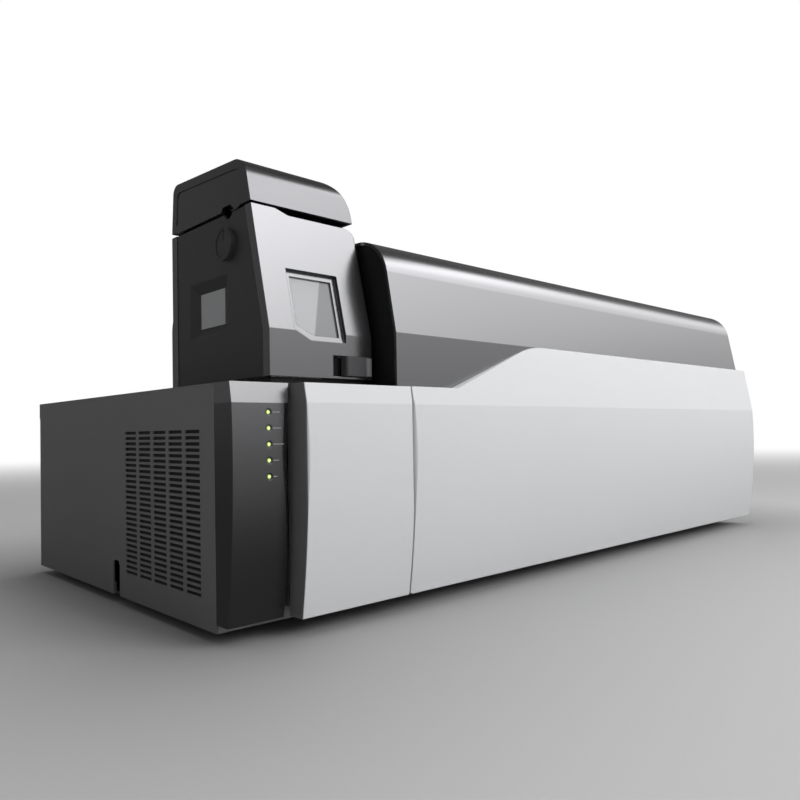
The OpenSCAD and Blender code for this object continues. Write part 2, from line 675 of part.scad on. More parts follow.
// Material to take off the right-hand upright edges of a piece t inside the ion source
module right_edges(r, t) {
    c = src_x1 - r;
    if (r > t) translate([c, src_y + r, 0]) difference() {
        translate([0, -r - 20, 0]) cube([r + 20, r + 20, src_kink + 3]);
        translate([0, 0, -1]) cylinder(h = src_kink + 5, r = r - t);
    }
    if (r > t) translate([c, src_y, src_kink]) rotate([-src_rake, 0, 0]) translate([0, r, -20]) difference() {
        translate([0, -r - 20, 0]) cube([r + 20, r + 20, 200]);
        translate([0, 0, -1]) cylinder(h = 202, r = r - t);
    }
    translate([hinge_x, hinge_y, 0]) difference() {
        cube([20, 20, 500]);
        translate([0, 0, -1]) cylinder(h = 502, r = 8 - t);
    }
}

// Frame of the leaning front: x right, y up the lean from the kink, z into the housing
module on_front() translate([src_x, src_y, src_kink]) rotate([90 - src_rake, 0, 0]) mirror([0, 0, 1]) children();

// Outline of the front window, grown by g, with its lower left corner cut off
module front_win(g) {
    w = front_win_w + 2 * g;
    h = front_win_h + 2 * g;
    translate([front_win_x - g, -7 - g]) polygon([[front_win_w * 0.3, 0], [w, 0], [w, h], [0, h], [0, front_win_h * 0.13]]);
}

// Housing shell: front, right and rear walls in one, with the window bezel and latch pocket
module source_shell() color("#2a2a2d") place() difference() {
    union() {
        difference() {
            along_x(src_x, src_x1) polygon(src_corners());
            difference() {
                along_x(src_x - 1, src_x1 - skin) polygon(concat([[src_y1 - skin, src_z - 1],
                    [src_y1 - skin, seam_z + 1]], [[src_front(seam_z + 1) + skin, seam_z + 1],
                    [src_y + skin, src_kink], [src_y + skin, src_z - 1]]));
                right_edges(upright_r, skin);
            }
        }
        // bands round the side cover, and the inner flange the cover sits on
        along_x(src_x, src_x + cover_in + cover_t) difference() {
            polygon(src_corners());
            polygon(cover_corners(20));
        }
        along_x(src_x + cover_in + cover_t, src_x + cover_in + cover_t + 2.5) difference() {
            polygon(src_corners());
            polygon(inset(cover_corners(20), 5));
        }
        // bezel behind the front window, pocket block of the latch, top plate
        intersection() {
            on_front() translate([0, 0, 1]) linear_extrude(win_deep + 2.4) front_win(3);
            box([src_x, src_y + 0.5, src_z], [src_x1, src_y1, seam_z - 8]);
        }
        box([src_x + 57, src_y + 0.5, src_z], [src_x1 - 2, src_y + 9, src_z + lever_h + 6]);
        difference() {
            along_x(src_x + 4, src_x1 - 2) polygon([[src_front(seam_z - 9) + 2, seam_z - 9],
                [src_y1 - 2, seam_z - 9], [src_y1 - 2, seam_z - 6], [src_front(seam_z - 6) + 2, seam_z - 6]]);
            box([probe_x - 14, ax_y - 13, seam_z - 20], [probe_x + 14, ax_y + 13, seam_z]);
            box([src_x + 20, ax_y + 24, seam_z - 20], [src_x + 60, ax_y + 44, seam_z]);
        }
        // rail behind the rounded corner
        along_x(src_x1 - 9, src_x1 - 1) polygon([[src_front(seam_z - 20) + 2, seam_z - 20],
            [src_y1 - 9, seam_z - 20], [src_y1 - 9, seam_z - 6], [src_front(seam_z - 6) + 2, seam_z - 6]]);
        // knuckles of the lid hinge
        for (x = [src_x + 14, src_x + 80]) {
            rod_x(x, x + 12, lid_axis[0], lid_axis[1], lid_barrel_r);
            box([x, lid_axis[0] - lid_barrel_r, seam_z - 8], [x + 12, lid_axis[0] + lid_barrel_r, lid_axis[1]]);
        }
    }
    right_edges(upright_r, 0);
    // front window: recess with a sill, then the opening for the pane
    on_front() translate([0, 0, -10]) linear_extrude(10 + win_deep - 2.4) front_win(0);
    on_front() translate([0, 0, -10]) linear_extrude(40) front_win(-5);
    on_front() translate([0, 0, win_deep - pane_t + 2.4]) linear_extrude(20) front_win(-3.5);
    // opening towards the interface flange
    rod_x(src_x1 - 10, src_x1 + 1, ax_y, ax_z, flange_r - 5.5);
    // latch pocket with a soft scoop for a finger on its left
    box([src_x + 73, src_y - 10, src_z + 2], [src_x1 - 2.8, src_y + 6, src_z + lever_h + 3]);
    translate([src_x + 73, src_y - 9, src_z + 2]) cylinder(h = lever_h + 1, r = 14);
    // lowered edge under the lid's finger gap
    along_y(src_y - 1, src_y + 40) polygon([[src_x + 20, seam_z + 1], [src_x + 35, seam_z - lid_finger],
        [src_x1 - 2, seam_z - lid_finger], [src_x1 - 2, seam_z + 1]]);
    // rounded corner under the lid's right-hand end
    for (k = [[src_y - 1, src_y + 40, seam_z - lid_finger], [src_y + 40 - eps, src_y1 + 1, seam_z]])
        along_y(k[0], k[1]) difference() {
            translate([src_x1 - corner_r, k[2] - corner_r]) square([corner_r + 1, corner_r + lid_finger + 1]);
            translate([src_x1 - corner_r, k[2] - corner_r]) circle(r = corner_r);
        }
    for (x = [src_x + 14, src_x + 80]) rod_x(x - 1, x + 13, lid_axis[0], lid_axis[1], lid_rod_r + run_gap);
    // lid knuckles turn here
    for (x = [src_x + 26, src_x + 67]) box([x, lid_axis[0] - 4, seam_z - 1], [x + 13, src_y1 + 1, seam_z + 9]);
}

// Pivot pin of the lock lever, pressed in the latch pocket
module lever_pin() color("#9a9da1") place()
    rod_z(src_z + 2, src_z + lever_h + 3, lever_x, lever_y, 1.5);
lever_x = src_x1 - 8.4;
lever_y = src_y - 0.4;

// Lock lever: a grip and a round boss on its pin
module lock_lever() color("#1a1a1c") place() difference() {
    za = src_z + 2 + fit;
    zb = src_z + 2 + fit + lever_h;
    union() {
        rod_z(za, zb, lever_x, lever_y, 4.6);
        box([lever_x - 5, lever_y - 2.5, za + 1], [lever_x, lever_y + 2.5, zb - 1]);
        translate([0, 0, za]) linear_extrude(zb - za) rounded([[lever_x - 5 - lever_l, lever_y - 4.6],
            [lever_x - 4.4, lever_y - 4.6], [lever_x - 4.4, lever_y + 4.2],
            [lever_x - 5 - lever_l, lever_y + 4.2]], [2.5, 0, 0, 1.5]);
    }
    rod_z(za - 1, zb + 1, lever_x, lever_y, 1.5 + run_gap);
}

// (y, z) outline of the side cover between the bands, carried on by e above and below
function cover_corners(e) = [[src_y1 - band, src_z - e], [src_y1 - band, seam_z + e],
    [src_front(seam_z + e) + band + 0.5, seam_z + e], [src_y + band, src_kink],
    [src_y + band, src_z - e]];

// Side cover: flat plate with the window recess and the dial's bore
module source_side_cover() color("#323235") place() difference() {
    wy = src_y + side_win_y;
    wz = z0 + side_win_z;
    union() {
        along_x(src_x + cover_in, src_x + cover_in + cover_t) polygon(inset(cover_corners(0), 0.2));
        box([src_x + cover_in, wy - 2, wz - 2],
            [src_x + win_deep + 2.4, wy + side_win_w + 2, wz + side_win_h + 2]);
        rod_x(src_x + cover_in, src_x + 8, dial_cy, dial_cz, screw_r + 4);
    }
    // bevelled recess: four sloping sides down to the pane
    d = win_deep;
    w = side_win_w;
    h = side_win_h;
    b = 11;
    intersection() {
        along_y(wy - 100, wy + w + 100) polygon([[src_x - 1, wz - 1.8], [src_x + d, wz + b],
            [src_x + d, wz + h - b], [src_x - 1, wz + h + 1.8]]);
        translate([0, 0, wz - 50]) linear_extrude(h + 100) polygon([[src_x - 1, wy - 2.4],
            [src_x + d, wy + b + 3], [src_x + d, wy + w - b - 3], [src_x - 1, wy + w + 2.4]]);
    }
    box([src_x, wy + b + 5, wz + b + 1], [src_x + 20, wy + w - b - 5, wz + h - b - 1]);
    box([src_x + d - 0.6, wy + b + 3, wz + b], [src_x + 20, wy + w - b - 3, wz + h - b]);
    rod_x(src_x - 1, src_x + 20, dial_cy, dial_cz, screw_r + run_gap);
    rod_x(src_x - 1, src_x + 12, src_y + 62, seam_z + 2, 7);
}

// Thick plate under the chamber, with the bore of the housing hinge
module source_floor() color("#3a3a3e") place() difference() {
    translate([0, 0, src_z]) linear_extrude(6) rounded([[src_x + 6.5, src_y + 9.2],
        [src_x1 - skin - 0.2, src_y + 9.2], [src_x1 - skin - 0.2, src_y1 - skin - 0.2],
        [src_x + 6.5, src_y1 - skin - 0.2]], [0, 6, 5, 0]);
    rod_z(src_z - 1, src_z + 7, hinge_x, hinge_y, hinge_pin_r + run_gap);
    rod_z(src_z - 1, src_z + 7, probe_x, ax_y, 10);
}

// Spray chamber: heavy box with window openings, a drain and a slot for the probe
module spray_chamber() color("#a7aaae") place() difference() {
    c = chamber;
    union() {
        box([c[0], c[1], chamber_z[0]], [c[2], c[3], chamber_z[1]]);
        rod_x(c[2] - eps, src_x1 - skin, ax_y, ax_z, flange_r - 3);
    }
    box([c[0] + chamber_t, c[1] + chamber_t, chamber_z[0] + chamber_t],
        [c[2] - chamber_t, c[3] - chamber_t, chamber_z[1] - chamber_t]);
    rod_x(c[2] - chamber_t - 1, src_x1, ax_y, ax_z, flange_r - 5.5);
    box([c[0] - 1, src_y + side_win_y + 16, z0 + side_win_z + 12],
        [c[0] + chamber_t + 1, src_y + side_win_y + side_win_w - 16, z0 + side_win_z + side_win_h - 12]);
    box([src_x + front_win_x + 6, c[1] - 1, src_kink + 2],
        [src_x + front_win_x + front_win_w - 6, c[1] + chamber_t + 1, src_kink + 42]);
    box([probe_x - 6 - travel, ax_y - 7, chamber_z[1] - chamber_t - 1],
        [probe_x + 6 + travel, ax_y + 7, chamber_z[1] + 1]);
    rod_z(chamber_z[0] - 1, chamber_z[0] + chamber_t + 1, probe_x, ax_y, 10);
}

module side_window_pane() color("#8d9296") place()
    box([src_x + win_deep - 0.6, src_y + side_win_y + 14.1, z0 + side_win_z + 11.1],
        [src_x + win_deep - 0.6 + pane_t, src_y + side_win_y + side_win_w - 14.1,
            z0 + side_win_z + side_win_h - 11.1]);

module front_window_pane() color("#8d9296") place()
    on_front() translate([0, 0, win_deep - pane_t + 2.4]) linear_extrude(pane_t - 0.1) front_win(-3.7);

// Lid: hollow cap that carries on the housing's lines, with a recessed left side
module source_lid() color("#2f2f33") place() difference() {
    union() {
        difference() {
            intersection() {
                along_x(src_x, src_x1) rounded(lid_corners(), lid_round);
                lid_side();
            }
            difference() {
                intersection() {
                    along_x(src_x + skin, src_x1 - skin) union() {
                        rounded(inset(lid_corners(), skin), [0, src_r - 9, src_r + 1.5, 0]);
                        polygon([[src_front(lid_z) + skin, lid_z - 1], [src_y1 - skin, lid_z - 1],
                            [src_y1 - skin - 0.3, lid_z + 6], [src_front(lid_z) + skin + 1.7, lid_z + 6]]);
                    }
                    lid_hollow(skin + 0.4);
                }
                right_edges(upright_r - lid_ease, skin);
            }
        }
        // stiffening rib across the roof
        intersection() {
            along_x(src_x + 2, src_x1 - 8) rounded(lid_corners(), lid_round);
            lid_hollow(1);
            box([src_x + 2, src_y + src_d * 0.58, lid_top - 14], [src_x1 - 12, src_y + src_d * 0.58 + 2, lid_top]);
        }
        for (x = [src_x + 26.5, src_x + 67.5]) {
            rod_x(x, x + 12, lid_axis[0], lid_axis[1], lid_barrel_r);
            box([x, lid_axis[0] - 3, lid_axis[1]], [x + 12, lid_axis[0] + 2.2, lid_axis[1] + 12]);
        }
    }
    right_edges(upright_r - lid_ease, 0);
    // recessed panel inside the band on the left side
    translate([src_x - 1, 0, 0]) rotate([90, 0, 90]) linear_extrude(1 + cover_in)
        rounded(inset(lid_corners(), band - 1.5), [0, 6, 12, 0]);
    // rear edge cut back so that the lid can turn
    difference() {
        box([src_x - 1, src_y1 - 9, lid_z - 1], [src_x1 + 1, src_y1 + 1, lid_axis[1]]);
        for (x = [src_x + 26.5, src_x + 67.5]) box([x, 0, 0], [x + 12, 500, 500]);
    }
    for (x = [src_x + 14, src_x + 80])
        box([x - fit, lid_axis[0] - 4, lid_z - 1], [x + 12 + fit, src_y1 + 1, lid_axis[1] + lid_barrel_r + fit]);
    rod_x(src_x + 11, src_x + 95, lid_axis[0], lid_axis[1], lid_rod_r + run_gap);
    // notch for a tube in the left seam
    along_x(src_x - 1, src_x + 12) polygon([[src_y + 51.5, lid_z - 1], [src_y + 73.5, lid_z - 1],
        [src_y + 69.5, lid_z + 4], [src_y + 57, lid_z + 4]]);
}

module lid_hinge_rod() color("#b9bcc0") place()
    rod_x(src_x + 13, src_x + 93, lid_axis[0], lid_axis[1], lid_rod_r);

// Side dial on its lead screw
module side_dial() color("#3a3a3e") place() difference() {
    union() {
        rod_x(src_x - 4.5, src_x + cover_in - fit, dial_cy, dial_cz, dial_d / 2);
        rod_x(src_x, probe_x + 10, dial_cy, dial_cz, screw_r);
    }
    rod_x(src_x - 5, src_x - 3.7, dial_cy, dial_cz, dial_d / 2 - 2);
    box([src_x - 5, dial_cy - 0.7, dial_cz + 3], [src_x - 3.2, dial_cy + 0.7, dial_cz + dial_d]);
}

// Carriage that the lead screw moves along the chamber roof
module probe_carriage() color("#c3c6ca") place() difference() {
    union() {
        box([probe_x - 16, dial_cy - 9, chamber_z[1] + fit], [probe_x + 16, ax_y + 14, chamber_z[1] + 6]);
        box([probe_x - 16, dial_cy - 9, chamber_z[1] + fit], [probe_x - 4, dial_cy + 9, dial_cz + screw_r + 4]);
        rod_z(chamber_z[1] + fit, chamber_z[1] + 14, probe_x, ax_y, 11);
    }
    rod_x(probe_x - 20, probe_x + 20, dial_cy, dial_cz, screw_r + run_gap);
    rod_z(chamber_z[1] - 1, chamber_z[1] + 15, probe_x, ax_y, 5);
}

// Electrospray probe: body, union and fine needle
module esi_probe() color("#d7dade") place() {
    rod_z(ax_z + 26, chamber_z[1] + 14, probe_x, ax_y, 4.9);
    rod_z(ax_z + 14, ax_z + 26 + eps, probe_x, ax_y, 2.4);
    rod_z(ax_z + 9, ax_z + 14 + eps, probe_x, ax_y, 0.8);
    rod_z(chamber_z[1] + 14, seam_z + 6, probe_x, ax_y, 9);
    rod_z(seam_z + 6 - eps, seam_z + 20, probe_x, ax_y, 6);
    translate([probe_x, ax_y, seam_z + 20 - eps]) cylinder(h = 6, r = 5, $fn = 6);
}

// Black plinth below the ion source, open at the rear
module source_plinth() color("#0e0e10") place() difference() {
    box([src_x + 6, src_y + 8, deck_z], [src_x1 - 4, src_y + src_d * 0.86, src_z - fit]);
    box([src_x + 12, src_y + 14, deck_z + 4], [src_x1 - 10, src_y1, src_z]);
    rod_z(deck_z - 1, src_z, src_x + src_w / 2, src_y + src_d / 2, 14);
}

// Post and pin the housing swings on
module source_hinge_pin() color("#9a9da1") place() {
    rod_z(deck_z, src_z - fit, hinge_x, hinge_y, 7.6);
    rod_z(deck_z, src_z + 5.5, hinge_x, hinge_y, hinge_pin_r);
}

// Interface flange between hood and source, with four screws
module interface_flange() color("#b9bcc0") place() difference() {
    union() {
        rod_x(src_x1 - 2.6, mani_x0, ax_y, ax_z, flange_r - 8);
        rod_x(src_x1 + 0.6, hood_x - 0.3, ax_y, ax_z, flange_r);
    }
    rod_x(src_x1 - 5, mani_x0 + 1, ax_y, ax_z, 6);
    for (a = [45:90:315]) translate([src_x1 + 0.5, ax_y + (flange_r - 13) * cos(a), ax_z + (flange_r - 13) * sin(a)])
        translate([-4, 0, 0]) rotate([0, 90, 0]) cylinder(h = 4, r = 2.6, $fn = 24);
}

// Heated desolvation line: cone and capillary
module desolvation_line() color("#c9b089") place() difference() {
    union() {
        rod_x(src_x1 - 24, mani_x0 - 1, ax_y, ax_z, 6);
        translate([src_x1 - 36, ax_y, ax_z]) rotate([0, 90, 0]) cylinder(h = 12 + eps, r1 = 2.4, r2 = 6);
    }
    rod_x(src_x1 - 40, mani_x0, ax_y, ax_z, 0.8);
}

// ---------------------------------------------------------------- vacuum system

// Long machined trough with pump openings in its floor and two inner partitions
module vacuum_manifold() color("#b3b6ba") place() difference() {
    y0 = ax_y - mani_w / 2;
    y1 = ax_y + mani_w / 2;
    box([mani_x0, y0, mani_z0], [mani_x1, y1, mani_z1]);
    for (i = [0:2]) box([mani_xs[i] + mani_t / 2, y0 + mani_t, mani_z0 + mani_t],
        [mani_xs[i + 1] - mani_t / 2, y1 - mani_t, mani_z1 + 1]);
    rod_x(mani_x0 - 1, mani_x0 + mani_t + 1, ax_y, ax_z, 4);
    for (i = [1:2]) rod_x(mani_xs[i] - mani_t, mani_xs[i] + mani_t, ax_y, ax_z, 16);
    for (x = pump_x) rod_z(mani_z0 - 1, mani_z0 + mani_t + 1, x, ax_y, pump_r - 4);
}
mani_xs = [mani_x0 + mani_t / 2, mani_x0 + 110, (pump_x[0] + pump_x[1]) / 2, mani_x1 - mani_t / 2];

module manifold_cover() color("#c3c6ca") place() {
    box([mani_x0, ax_y - mani_w / 2, mani_z1], [mani_x1, ax_y + mani_w / 2, mani_z1 + mani_cover_t]);
    // cap screws round the edge
    for (i = [0:9], s = [-1, 1]) translate([mani_x0 + 20 + i * (mani_x1 - mani_x0 - 40) / 9,
        ax_y + s * (mani_w / 2 - 5), mani_z1 + mani_cover_t - eps]) cylinder(h = 4, r = 3.5, $fn = 24);
}

// Rod set with two collars and saddles on the trough floor
module rod_set(xa, xb, r, spread) {
    for (a = [45:90:315]) rod_x(xa, xb, ax_y + spread * cos(a), ax_z + spread * sin(a), r);
    for (x = [xa + 14, xb - 26]) difference() {
        union() {
            rod_x(x, x + 12, ax_y, ax_z, spread + r + 6);
            box([x, ax_y - 16, mani_z0 + mani_t], [x + 12, ax_y + 16, ax_z - spread]);
        }
        rod_x(x - 1, x + 13, ax_y, ax_z, spread - r * 0.4);
    }
}
guide_x = [mani_xs[0] + mani_t / 2 + 6, mani_xs[1] - mani_t / 2 - 6];
first_x = [mani_xs[1] + mani_t / 2 + 8, mani_xs[2] - mani_t / 2 - 8];
rest = mani_xs[3] - mani_xs[2];
cell_x = [mani_xs[2] + mani_t / 2 + 8, mani_xs[2] + rest * 0.34];
second_x = [mani_xs[2] + rest * 0.37, mani_xs[2] + rest * 0.83];

module ion_guide() color("#c9b089") place() rod_set(guide_x[0], guide_x[1], rod_r * 0.5, rod_r * 1.1);
module first_quadrupole() color("#d2b27c") place() rod_set(first_x[0], first_x[1], rod_r, rod_r * 2.15);
module second_quadrupole() color("#d2b27c") place() rod_set(second_x[0], second_x[1], rod_r, rod_r * 2.15);

// Collision cell: closed box with a small rod set showing at both ends
module collision_cell() color("#8f9396") place() {
    difference() {
        box([cell_x[0] + 6, ax_y - 26, mani_z0 + mani_t], [cell_x[1] - 6, ax_y + 26, ax_z + 26]);
        rod_x(cell_x[0], cell_x[1], ax_y, ax_z, rod_r * 2 + 1);
    }
    for (a = [45:90:315]) rod_x(cell_x[0], cell_x[1], ax_y + rod_r * 1.7 * cos(a), ax_z + rod_r * 1.7 * sin(a), rod_r * 0.7);
    for (x = [cell_x[0] + 12, cell_x[1] - 18]) difference() {
        rod_x(x, x + 6, ax_y, ax_z, rod_r * 2 + 2);
        rod_x(x - 1, x + 7, ax_y, ax_z, rod_r);
    }
}

module ion_detector() color("#8f9396") place() {
    x = mani_x1 - mani_t;
    box([x - 40, ax_y - 20, mani_z0 + mani_t], [x - 6, ax_y + 20, ax_z - 8]);
    box([x - 40, ax_y - 14, ax_z - 8 - eps], [x - 34, ax_y + 14, ax_z + 20]);
    rod_x(x - 34 - eps, x - 8, ax_y, ax_z + 6, 11);
}

// Turbo pump: flanged cup, finned below, with a bearing in its foot
module turbo_pump(x) difference() {
    union() {
        rod_z(mani_z0 - 10, mani_z0, x, ax_y, pump_flange_r);
        rod_z(mani_z0 - pump_h, mani_z0 - 9, x, ax_y, pump_r);
        for (i = [0:4]) rod_z(mani_z0 - pump_h + 8 + i * 7, mani_z0 - pump_h + 11 + i * 7, x, ax_y, pump_r + 4);
        box([x + pump_r - 8, ax_y + pump_r - 30, mani_z0 - pump_h], [x + pump_r + 14, ax_y + pump_r + 6, mani_z0 - pump_h + 34]);
    }
    difference() {
        rod_z(mani_z0 - pump_h + 8, mani_z0 + 1, x, ax_y, pump_r - 4);
        rod_z(mani_z0 - pump_h + 7, mani_z0 - pump_h + 30, x, ax_y, 16);
    }
    rod_z(mani_z0 - pump_h + 12, mani_z0 - pump_h + 31, x, ax_y, 5 + run_gap);
}

// Rotor: shaft, hub and four stages of pitched blades
module turbo_rotor(x) {
    zt = mani_z0 - 14;
    zb = mani_z0 - pump_h + 30 + fit;
    rod_z(mani_z0 - pump_h + 12.5, zt, x, ax_y, 5);
    rod_z(zb, zt, x, ax_y, 20);
    for (k = [0:3], i = [0:blade_count - 1]) translate([x, ax_y, zb + 6 + k * (zt - zb - 10) / 4])
        rotate([0, 0, 360 * i / blade_count + 9 * k]) translate([19, -1, 0]) rotate([k % 2 > 0 ? 35 : -35, 0, 0])
            cube([pump_r - 24 - 2, 1.6, 9]);
}

module front_turbo_pump() color("#9a9da1") place() turbo_pump(pump_x[0]);
module rear_turbo_pump() color("#9a9da1") place() turbo_pump(pump_x[1]);
module front_turbo_rotor() color("#c3c6ca") place() turbo_rotor(pump_x[0]);
module rear_turbo_rotor() color("#c3c6ca") place() turbo_rotor(pump_x[1]);

// ---------------------------------------------------------------- electronics

// Shielded generator box with lid flange and two terminals
module rf_generator() color("#a7aaae") place() {
    x = hood_x + 60;
    y = ax_y + 110;
    g = rf_box;
    box([x, y, z0 + sheet], [x + g[0], y + g[1], z0 + g[2]]);
    box([x - 4, y - 4, z0 + g[2] - eps], [x + g[0] + 4, y + g[1] + 4, z0 + g[2] + 4]);
    for (i = [0:1]) rod_z(z0 + g[2] + 4 - eps, z0 + g[2] + 26, x + g[0] * (0.3 + 0.4 * i), y + g[1] / 2, 9);
}

module power_supply() color("#8f9396") place() difference() {
    g = supply_box;
    x = chassis_l - g[0] - 72;
    y = ax_y + 110;
    box([x, y, z0 + sheet], [x + g[0], y + g[1], z0 + g[2]]);
    for (i = [0:11]) translate([x + 14 + i * (g[0] - 24) / 12, y - 1, z0 + 24]) cube([5, 13, g[2] - 44]);
}

// Control board on four posts with its larger parts
module control_board() color("#2f6a45") place() {
    x = 44;
    y = ax_y + 100;
    box([x, y, z0 + 22], [x + 140, y + 170, z0 + 23.6]);
    for (i = [0, 1], j = [0, 1]) rod_z(z0 + sheet, z0 + 22 + eps, x + 8 + 124 * i, y + 8 + 154 * j, 3);
    box([x + 30, y + 40, z0 + 23.6 - eps], [x + 70, y + 80, z0 + 31]);
    for (i = [0:3]) rod_z(z0 + 23.6 - eps, z0 + 42, x + 95, y + 30 + 22 * i, 7);
    box([x + 12, y + 150, z0 + 23.6 - eps], [x + 120, y + 158, z0 + 36]);
}

// Square fan frame along x, struts and motor cup; rotor with seven pitched blades
module fan_frame() difference() {
    h = fan_size / 2;
    union() {
        difference() {
            box([0, -h, -h], [25, h, h]);
            rod_x(-1, 26, 0, 0, h - 3);
        }
        intersection() {
            box([0, -h, -h], [25, h, h]);
            union() {
                rod_x(20, 25, 0, 0, 20);
                for (a = [0:90:270]) rotate([a + 45, 0, 0]) box([20, 15, -2.5], [25, h * 1.2, 2.5]);
            }
        }
    }
    rod_x(14, 24, 0, 0, 3 + run_gap);
    for (j = [-1, 1], k = [-1, 1]) rod_x(-1, 26, j * (h - 7.5), k * (h - 7.5), 2.2);
}
module fan_rotor() {
    rod_x(3, 20 - fit, 0, 0, 19);
    rod_x(10, 23.5, 0, 0, 3);
    for (a = [0:360 / 7:359]) rotate([a, 0, 0]) translate([10, 17, -1])
        rotate([0, 38, 0]) translate([-2, 0, -8]) cube([2, fan_size / 2 - 3 - 17 - 2, 20]);
}
module fan_at_intake() translate([sheet + filter_t, vent_y + (vent_cols - 1) / 2 * vent_pitch_y + vent_slot_l / 2, fan_z])
    children();
module fan_at_exhaust() translate([fan2_x, body_w - sheet, fan_z]) rotate([0, 0, -90]) children();

module intake_fan_frame() color("#202022") place() fan_at_intake() fan_frame();
module intake_fan_rotor() color("#3a3a3e") place() fan_at_intake() fan_rotor();
module exhaust_fan_frame() color("#202022") place() fan_at_exhaust() fan_frame();
module exhaust_fan_rotor() color("#3a3a3e") place() fan_at_exhaust() fan_rotor();

// ---------------------------------------------------------------- rear fittings

// Two vacuum ports with clamping flanges outside and a collar inside
module vacuum_ports() color("#c3c6ca") place() for (x = vac_x) difference() {
    union() {
        rod_y(body_w - 24, body_w + port_reach, x, vac_z, vac_port_r + 3);
        rod_y(body_w, body_w + 4, x, vac_z, vac_port_r + 13);
        rod_y(body_w + port_reach - 3, body_w + port_reach, x, vac_z, vac_port_r + 8);
        translate([x, body_w + port_reach - 3 + eps, vac_z]) rotate([90, 0, 0])
            cylinder(h = 2.6, r1 = vac_port_r + 8, r2 = vac_port_r + 4);
    }
    rod_y(body_w - 25, body_w + port_reach + 1, x, vac_z, vac_port_r);
}

// Appliance inlet with three blades, and the frame of the mains switch
module mains_inlet() color("#18181a") place() {
    y = body_w;
    difference() {
        union() {
            box([inlet_x - 13.8, y - 28, inlet_z - 11.8], [inlet_x + 13.8, y + eps, inlet_z + 11.8]);
            box([switch_x - 7.8, y - 16, inlet_z - 11.8], [switch_x + 7.8, y + eps, inlet_z + 11.8]);
            box([switch_x - 12, y, inlet_z - 15], [inlet_x + 18, y + 2.4, inlet_z + 15]);
        }
        box([inlet_x - 12.2, y - 18, inlet_z - 8.2], [inlet_x + 12.2, y + 5, inlet_z + 8.2]);
        box([switch_x - 6.2, y - 12, inlet_z - 10.2], [switch_x + 6.2, y + 5, inlet_z + 10.2]);
        rod_x(switch_x - 7.2, switch_x + 7.2, y - 2, inlet_z, 1.2 + run_gap);
    }
    for (i = [-1:1]) box([inlet_x + 7 * i - 1, y - 18 - eps, inlet_z - 2 + (i == 0 ? 2 : -1)],
        [inlet_x + 7 * i + 1, y - 2, inlet_z + 2 + (i == 0 ? 2 : -1)]);
}

// Rocker of the mains switch on its cross pin
module power_switch() color("#2a2a2d") place() {
    y = body_w;
    rod_x(switch_x - 7, switch_x + 7, y - 2, inlet_z, 1.2);
    along_x(switch_x - 6.2 + fit, switch_x + 6.2 - fit) polygon([[y - 8, inlet_z - 3], [y + 2.6, inlet_z - 8.6],
        [y + 4.6, inlet_z - 8.2], [y + 3.4, inlet_z], [y + 4.6, inlet_z + 8.2], [y + 2.6, inlet_z + 8.6],
        [y - 8, inlet_z + 3]]);
}

// Two gas fittings: hexagon outside, thread stub inside
module gas_fittings() color("#c8a046") place() for (i = [0:1]) {
    x = gas_x + 30 * i;
    difference() {
        union() {
            rod_y(body_w - 12, body_w + 18, x, gas_z, 6.6);
            translate([x, body_w + 8, gas_z]) rotate([90, 0, 0]) cylinder(h = 8, r = 10, $fn = 6);
            rod_y(body_w + 17, body_w + 20, x, gas_z, 5.4);
        }
        rod_y(body_w - 13, body_w + 21, x, gas_z, gas_port_r);
    }
}

// Row of data sockets
module data_ports() color("#4a4c50") place() difference() {
    y = body_w;
    union() {
        box([data_x - 39.8, y - 18, inlet_z - 10.8], [data_x + 39.8, y + eps, inlet_z + 10.8]);
        box([data_x - 43, y, inlet_z - 14], [data_x + 43, y + 1.6, inlet_z + 14]);
    }
    for (i = [-1:1]) box([data_x + 26 * i - 6, y - 13, inlet_z - 5.5], [data_x + 26 * i + 6, y + 3, inlet_z + 5.5]);
}

base_pan();
feet();
vent_end_panel();
air_filter();
right_end_panel();
rear_panel();
top_deck();
front_wall();
bulkheads();
service_bay();
switching_valve();
led_fascia();
led_lenses();
led_board();
front_door();
door_hinge_arms();
front_panel();
hood_shell();
hood_left_cap();
hood_right_cap();
source_plinth();
source_hinge_pin();
source_shell();
source_side_cover();
source_floor();
spray_chamber();
side_window_pane();
front_window_pane();
source_lid();
lid_hinge_rod();
lever_pin();
side_dial();
probe_carriage();
esi_probe();
lock_lever();
interface_flange();
desolvation_line();
vacuum_manifold();
manifold_cover();
ion_guide();
first_quadrupole();
collision_cell();
second_quadrupole();
ion_detector();
front_turbo_pump();
front_turbo_rotor();
rear_turbo_pump();
rear_turbo_rotor();
vacuum_ports();
rf_generator();
power_supply();
control_board();
intake_fan_frame();
intake_fan_rotor();
exhaust_fan_frame();
exhaust_fan_rotor();
mains_inlet();
power_switch();
gas_fittings();
data_ports();
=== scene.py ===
"""Benchtop mass spectrometer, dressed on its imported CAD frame.

Lengths are metres. The frame's origin is on the bench below the middle of the instrument,
+X runs along the white front towards the right end, +Y towards the rear, +Z up.
"""
import math

import bpy
import numpy as np
from mathutils import Matrix, Vector


